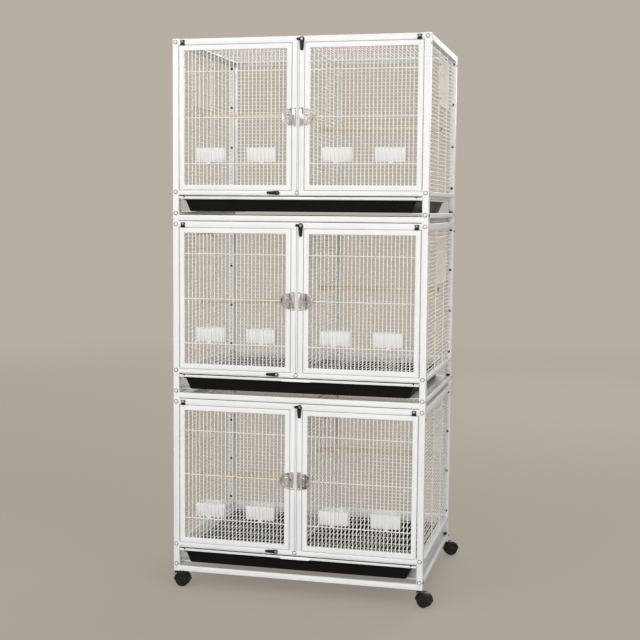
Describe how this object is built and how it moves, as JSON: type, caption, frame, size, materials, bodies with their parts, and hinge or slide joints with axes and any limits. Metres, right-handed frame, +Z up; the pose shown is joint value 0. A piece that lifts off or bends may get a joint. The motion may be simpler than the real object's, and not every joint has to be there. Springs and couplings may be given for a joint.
{
  "type": "canary breeding cage",
  "caption": "Stacked wire cage on casters: hinged front doors with latches and cups, sliding dividers, grates and trays, side nest hatches",
  "frame": {"origin": "on the floor under the middle of the cage", "axes": "+X to the right as seen from the doors, -Y out of the doors, +Z up"},
  "size_m": [0.8268, 0.606, 1.6325],
  "materials": {
    "white_powder_coat": "satin white powder coat",
    "coated_wire": "cream-white coated wire",
    "black_plastic": "moulded black plastic",
    "chrome": "polished",
    "cup_plastic": "white moulded plastic"
  },
  "bodies": {
    "frame": {"front_frame": "white_powder_coat", "back_frame": "white_powder_coat", "side_panel_left": "white_powder_coat", "side_panel_right": "white_powder_coat", "roof_top": "coated_wire", "roof_middle": "coated_wire", "roof_bottom": "coated_wire"},
    "door_top_left": {"door_top_left": "coated_wire", "cup_top_left_outer": "cup_plastic", "cup_top_left_inner": "cup_plastic"},
    "latch_top_left": {"latch_top_left": "chrome"},
    "nest_hatch_top_left": {"nest_hatch_top_left": "coated_wire"},
    "door_top_right": {"door_top_right": "coated_wire", "cup_top_right_outer": "cup_plastic", "cup_top_right_inner": "cup_plastic"},
    "latch_top_right": {"latch_top_right": "chrome"},
    "nest_hatch_top_right": {"nest_hatch_top_right": "coated_wire"},
    "divider_top": {"divider_top": "coated_wire"},
    "grate_top": {"grate_top": "coated_wire"},
    "tray_top": {"tray_top": "black_plastic"},
    "divider_clip_top": {"divider_clip_top": "black_plastic"},
    "tray_clip_top": {"tray_clip_top": "black_plastic"},
    "door_middle_left": {"door_middle_left": "coated_wire", "cup_middle_left_outer": "cup_plastic", "cup_middle_left_inner": "cup_plastic"},
    "latch_middle_left": {"latch_middle_left": "chrome"},
    "nest_hatch_middle_left": {"nest_hatch_middle_left": "coated_wire"},
    "door_middle_right": {"door_middle_right": "coated_wire", "cup_middle_right_outer": "cup_plastic", "cup_middle_right_inner": "cup_plastic"},
    "latch_middle_right": {"latch_middle_right": "chrome"},
    "nest_hatch_middle_right": {"nest_hatch_middle_right": "coated_wire"},
    "divider_middle": {"divider_middle": "coated_wire"},
    "grate_middle": {"grate_middle": "coated_wire"},
    "tray_middle": {"tray_middle": "black_plastic"},
    "divider_clip_middle": {"divider_clip_middle": "black_plastic"},
    "tray_clip_middle": {"tray_clip_middle": "black_plastic"},
    "door_bottom_left": {"door_bottom_left": "coated_wire", "cup_bottom_left_outer": "cup_plastic", "cup_bottom_left_inner": "cup_plastic"},
    "latch_bottom_left": {"latch_bottom_left": "chrome"},
    "nest_hatch_bottom_left": {"nest_hatch_bottom_left": "coated_wire"},
    "door_bottom_right": {"door_bottom_right": "coated_wire", "cup_bottom_right_outer": "cup_plastic", "cup_bottom_right_inner": "cup_plastic"},
    "latch_bottom_right": {"latch_bottom_right": "chrome"},
    "nest_hatch_bottom_right": {"nest_hatch_bottom_right": "coated_wire"},
    "divider_bottom": {"divider_bottom": "coated_wire"},
    "grate_bottom": {"grate_bottom": "coated_wire"},
    "tray_bottom": {"tray_bottom": "black_plastic"},
    "divider_clip_bottom": {"divider_clip_bottom": "black_plastic"},
    "tray_clip_bottom": {"tray_clip_bottom": "black_plastic"},
    "caster_fork_front_left": {"caster_fork_front_left": "black_plastic"},
    "caster_wheels_front_left": {"caster_wheels_front_left": "black_plastic"},
    "caster_fork_front_right": {"caster_fork_front_right": "black_plastic"},
    "caster_wheels_front_right": {"caster_wheels_front_right": "black_plastic"},
    "caster_fork_back_left": {"caster_fork_back_left": "black_plastic"},
    "caster_wheels_back_left": {"caster_wheels_back_left": "black_plastic"},
    "caster_fork_back_right": {"caster_fork_back_right": "black_plastic"},
    "caster_wheels_back_right": {"caster_wheels_back_right": "black_plastic"}
  },
  "joints": [
    {"name": "door_top_left_hinge", "type": "hinge", "parent": "frame", "child": "door_top_left", "pos_m": [-0.352, -0.274, 1.4035], "axis": [0, 0, -1], "range_deg": [0, 110]},
    {"name": "latch_top_left_turn", "type": "hinge", "parent": "door_top_left", "child": "latch_top_left", "pos_m": [-0.027, -0.284, 1.4035], "axis": [0, -1, 0], "range_deg": [0, 90]},
    {"name": "nest_hatch_top_left_hinge", "type": "hinge", "parent": "frame", "child": "nest_hatch_top_left", "pos_m": [-0.37645, 0.0605, 1.5195], "axis": [0, 0, -1], "range_deg": [0, 120]},
    {"name": "door_top_right_hinge", "type": "hinge", "parent": "frame", "child": "door_top_right", "pos_m": [0.352, -0.274, 1.4035], "axis": [0, 0, 1], "range_deg": [0, 110]},
    {"name": "latch_top_right_turn", "type": "hinge", "parent": "door_top_right", "child": "latch_top_right", "pos_m": [0.027, -0.284, 1.4035], "axis": [0, 1, 0], "range_deg": [0, 90]},
    {"name": "nest_hatch_top_right_hinge", "type": "hinge", "parent": "frame", "child": "nest_hatch_top_right", "pos_m": [0.37645, -0.0605, 1.5195], "axis": [0, 0, -1], "range_deg": [0, 120]},
    {"name": "divider_top_slide", "type": "slide", "parent": "frame", "child": "divider_top", "axis": [0, -1, 0], "range_m": [0, 0.5]},
    {"name": "grate_top_slide", "type": "slide", "parent": "frame", "child": "grate_top", "axis": [0, -1, 0], "range_m": [0, 0.5]},
    {"name": "tray_top_slide", "type": "slide", "parent": "frame", "child": "tray_top", "axis": [0, -1, 0], "range_m": [0, 0.5]},
    {"name": "divider_clip_top_turn", "type": "hinge", "parent": "frame", "child": "divider_clip_top", "pos_m": [0.0105, -0.282, 1.6225], "axis": [0, -1, 0], "range_deg": [-30, 0]},
    {"name": "tray_clip_top_turn", "type": "hinge", "parent": "frame", "child": "tray_clip_top", "pos_m": [-0.059, -0.282, 1.18725], "axis": [0, 1, 0], "range_deg": [-90, 0]},
    {"name": "door_middle_left_hinge", "type": "hinge", "parent": "frame", "child": "door_middle_left", "pos_m": [-0.352, -0.274, 0.875], "axis": [0, 0, -1], "range_deg": [0, 110]},
    {"name": "latch_middle_left_turn", "type": "hinge", "parent": "door_middle_left", "child": "latch_middle_left", "pos_m": [-0.027, -0.284, 0.875], "axis": [0, -1, 0], "range_deg": [0, 90]},
    {"name": "nest_hatch_middle_left_hinge", "type": "hinge", "parent": "frame", "child": "nest_hatch_middle_left", "pos_m": [-0.37645, 0.0605, 0.991], "axis": [0, 0, -1], "range_deg": [0, 120]},
    {"name": "door_middle_right_hinge", "type": "hinge", "parent": "frame", "child": "door_middle_right", "pos_m": [0.352, -0.274, 0.875], "axis": [0, 0, 1], "range_deg": [0, 110]},
    {"name": "latch_middle_right_turn", "type": "hinge", "parent": "door_middle_right", "child": "latch_middle_right", "pos_m": [0.027, -0.284, 0.875], "axis": [0, 1, 0], "range_deg": [0, 90]},
    {"name": "nest_hatch_middle_right_hinge", "type": "hinge", "parent": "frame", "child": "nest_hatch_middle_right", "pos_m": [0.37645, -0.0605, 0.991], "axis": [0, 0, -1], "range_deg": [0, 120]},
    {"name": "divider_middle_slide", "type": "slide", "parent": "frame", "child": "divider_middle", "axis": [0, -1, 0], "range_m": [0, 0.5]},
    {"name": "grate_middle_slide", "type": "slide", "parent": "frame", "child": "grate_middle", "axis": [0, -1, 0], "range_m": [0, 0.5]},
    {"name": "tray_middle_slide", "type": "slide", "parent": "frame", "child": "tray_middle", "axis": [0, -1, 0], "range_m": [0, 0.5]},
    {"name": "divider_clip_middle_turn", "type": "hinge", "parent": "frame", "child": "divider_clip_middle", "pos_m": [0.0105, -0.282, 1.094], "axis": [0, -1, 0], "range_deg": [-30, 0]},
    {"name": "tray_clip_middle_turn", "type": "hinge", "parent": "frame", "child": "tray_clip_middle", "pos_m": [-0.059, -0.282, 0.65875], "axis": [0, 1, 0], "range_deg": [-90, 0]},
    {"name": "door_bottom_left_hinge", "type": "hinge", "parent": "frame", "child": "door_bottom_left", "pos_m": [-0.352, -0.274, 0.3465], "axis": [0, 0, -1], "range_deg": [0, 110]},
    {"name": "latch_bottom_left_turn", "type": "hinge", "parent": "door_bottom_left", "child": "latch_bottom_left", "pos_m": [-0.027, -0.284, 0.3465], "axis": [0, -1, 0], "range_deg": [0, 90]},
    {"name": "nest_hatch_bottom_left_hinge", "type": "hinge", "parent": "frame", "child": "nest_hatch_bottom_left", "pos_m": [-0.37645, 0.0605, 0.4625], "axis": [0, 0, -1], "range_deg": [0, 120]},
    {"name": "door_bottom_right_hinge", "type": "hinge", "parent": "frame", "child": "door_bottom_right", "pos_m": [0.352, -0.274, 0.3465], "axis": [0, 0, 1], "range_deg": [0, 110]},
    {"name": "latch_bottom_right_turn", "type": "hinge", "parent": "door_bottom_right", "child": "latch_bottom_right", "pos_m": [0.027, -0.284, 0.3465], "axis": [0, 1, 0], "range_deg": [0, 90]},
    {"name": "nest_hatch_bottom_right_hinge", "type": "hinge", "parent": "frame", "child": "nest_hatch_bottom_right", "pos_m": [0.37645, -0.0605, 0.4625], "axis": [0, 0, -1], "range_deg": [0, 120]},
    {"name": "divider_bottom_slide", "type": "slide", "parent": "frame", "child": "divider_bottom", "axis": [0, -1, 0], "range_m": [0, 0.5]},
    {"name": "grate_bottom_slide", "type": "slide", "parent": "frame", "child": "grate_bottom", "axis": [0, -1, 0], "range_m": [0, 0.5]},
    {"name": "tray_bottom_slide", "type": "slide", "parent": "frame", "child": "tray_bottom", "axis": [0, -1, 0], "range_m": [0, 0.5]},
    {"name": "divider_clip_bottom_turn", "type": "hinge", "parent": "frame", "child": "divider_clip_bottom", "pos_m": [0.0105, -0.282, 0.5655], "axis": [0, -1, 0], "range_deg": [-30, 0]},
    {"name": "tray_clip_bottom_turn", "type": "hinge", "parent": "frame", "child": "tray_clip_bottom", "pos_m": [-0.059, -0.282, 0.13025], "axis": [0, 1, 0], "range_deg": [-90, 0]},
    {"name": "caster_front_left_swivel", "type": "hinge", "parent": "frame", "child": "caster_fork_front_left", "pos_m": [-0.371, -0.271, 0.055], "axis": [0, 0, 1], "continuous": true},
    {"name": "caster_front_left_roll", "type": "hinge", "parent": "caster_fork_front_left", "child": "caster_wheels_front_left", "pos_m": [-0.354, -0.271, 0.02109], "axis": [0, 1, 0], "continuous": true},
    {"name": "caster_front_right_swivel", "type": "hinge", "parent": "frame", "child": "caster_fork_front_right", "pos_m": [0.371, -0.271, 0.055], "axis": [0, 0, 1], "continuous": true},
    {"name": "caster_front_right_roll", "type": "hinge", "parent": "caster_fork_front_right", "child": "caster_wheels_front_right", "pos_m": [0.38572, -0.2795, 0.02109], "axis": [0.5, 0.866, 0], "continuous": true},
    {"name": "caster_back_left_swivel", "type": "hinge", "parent": "frame", "child": "caster_fork_back_left", "pos_m": [-0.371, 0.271, 0.055], "axis": [0, 0, 1], "continuous": true},
    {"name": "caster_back_left_roll", "type": "hinge", "parent": "caster_fork_back_left", "child": "caster_wheels_back_left", "pos_m": [-0.38572, 0.2795, 0.02109], "axis": [-0.5, -0.866, 0], "continuous": true},
    {"name": "caster_back_right_swivel", "type": "hinge", "parent": "frame", "child": "caster_fork_back_right", "pos_m": [0.371, 0.271, 0.055], "axis": [0, 0, 1], "continuous": true},
    {"name": "caster_back_right_roll", "type": "hinge", "parent": "caster_fork_back_right", "child": "caster_wheels_back_right", "pos_m": [0.38572, 0.2795, 0.02109], "axis": [-0.5, 0.866, 0], "continuous": true}
  ]
}
